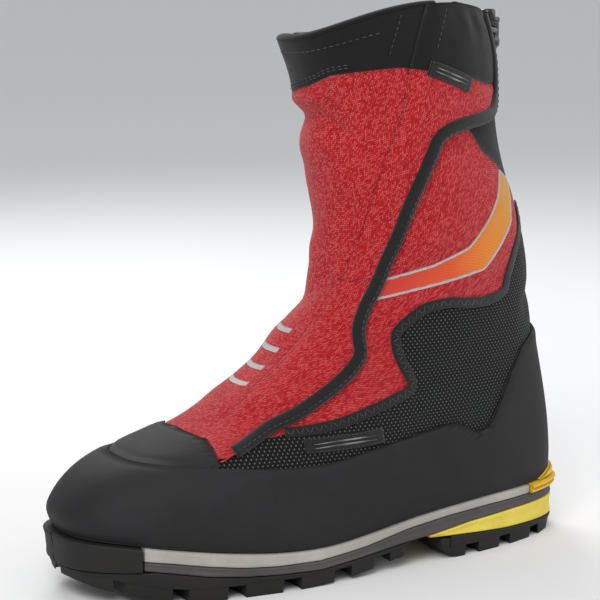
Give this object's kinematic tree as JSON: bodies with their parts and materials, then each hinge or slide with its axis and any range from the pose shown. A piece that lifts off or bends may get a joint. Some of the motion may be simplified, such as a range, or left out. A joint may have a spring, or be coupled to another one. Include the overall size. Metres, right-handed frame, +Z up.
{
  "type": "mountaineering boot",
  "caption": "Insulated mountaineering boot with a built-in gaiter, a diagonal zip under a storm flap, a rubber rand and a lugged sole with crampon ledges.",
  "frame": {"origin": "centre of the bounding box in plan, on the ground under the sole", "axes": "+Z up, toe towards -Y, outer (lateral) side towards +X"},
  "size_m": [0.107, 0.322, 0.316],
  "materials": {
    "red_fabric": "ribbed stretch knit",
    "black_fabric": "matte softshell",
    "dotted_fabric": "black textile with a dot pattern",
    "rand_rubber": "matte",
    "outsole_rubber": "matte",
    "cushion_foam": "matte foam",
    "welt_foam": "matte foam",
    "yellow_foam": "matte foam",
    "yellow_plastic": "satin",
    "binding_tape": "woven tape",
    "liner_fabric": "brushed lining",
    "board": "fibre board",
    "shank_plastic": "moulded",
    "zip_tape_fabric": "coated tape",
    "zip_metal": "dark plated",
    "lock_plastic": "glossy",
    "spring_steel": "bright wire",
    "cord_grey": "braided cord",
    "label_black": "woven label"
  },
  "bodies": {
    "boot": {"welt_layer": "welt_foam", "cushion_layer": "cushion_foam", "toe_ledge": "outsole_rubber", "heel_ledge": "yellow_plastic", "heel_wedge": "yellow_foam", "outsole_forefoot": "outsole_rubber", "outsole_heel": "outsole_rubber", "lasting_board": "board", "shank_plate": "shank_plastic", "footbed": "liner_fabric", "front_panel": "red_fabric", "quarter_lateral": "red_fabric", "quarter_medial": "red_fabric", "side_panel_lateral": "dotted_fabric", "side_panel_medial": "dotted_fabric", "back_panel": "black_fabric", "collar_front": "black_fabric", "collar_rear": "black_fabric", "collar_facing": "black_fabric", "toe_rand": "rand_rubber", "toe_cap": "rand_rubber", "rand_lateral": "rand_rubber", "rand_medial": "rand_rubber", "heel_rand": "rand_rubber", "toe_puff": "shank_plastic", "heel_counter": "shank_plastic", "liner_foot_lateral": "liner_fabric", "liner_foot_medial": "liner_fabric", "liner_cuff_lateral": "liner_fabric", "liner_cuff_medial": "liner_fabric", "tongue": "liner_fabric", "seam_tape_lateral": "binding_tape", "seam_tape_medial": "binding_tape", "front_seam_tape": "binding_tape", "lower_flap": "red_fabric", "lower_binding": "binding_tape", "side_label": "label_black", "zip_tape_front": "zip_tape_fabric", "zip_tape_rear": "zip_tape_fabric", "zip_teeth_front": "zip_metal", "zip_teeth_rear": "zip_metal", "zip_stop": "zip_metal", "drawcord": "cord_grey", "lock_barrel": "lock_plastic", "lock_spring": "spring_steel"},
    "flap": {"storm_flap": "red_fabric", "collar_flap": "black_fabric", "flap_binding": "binding_tape", "cuff_label": "label_black"},
    "slider": {"zip_slider": "zip_metal"},
    "pull": {"zip_pull": "zip_metal"},
    "plunger": {"lock_plunger": "lock_plastic"}
  },
  "joints": [
    {"name": "storm_flap_open", "type": "hinge", "parent": "boot", "child": "flap", "pos_m": [0.02014, 0.00265, 0.17028], "axis": [-0.2206, -0.2127, -0.9519], "range_deg": [0, 100]},
    {"name": "zip_travel", "type": "hinge", "parent": "boot", "child": "slider", "pos_m": [-0.31485, 0.15318, 0.27048], "axis": [0.2872, 0.9138, -0.2872], "range_deg": [0, 13.6]},
    {"name": "zip_pull_tilt", "type": "hinge", "parent": "slider", "child": "pull", "pos_m": [0.04607, 0.04465, 0.28614], "axis": [-0.2872, -0.9138, 0.2872], "range_deg": [0, 50]},
    {"name": "lock_press", "type": "slide", "parent": "boot", "child": "plunger", "axis": [0, 0, -1], "range_m": [0, 0.0035], "stiffness_N_per_m": 600, "deforming": ["lock_spring"]}
  ],
  "couplings": [
    {"joint": "zip_pull_tilt", "follows": "storm_flap_open", "ratio": 0.5}
  ]
}
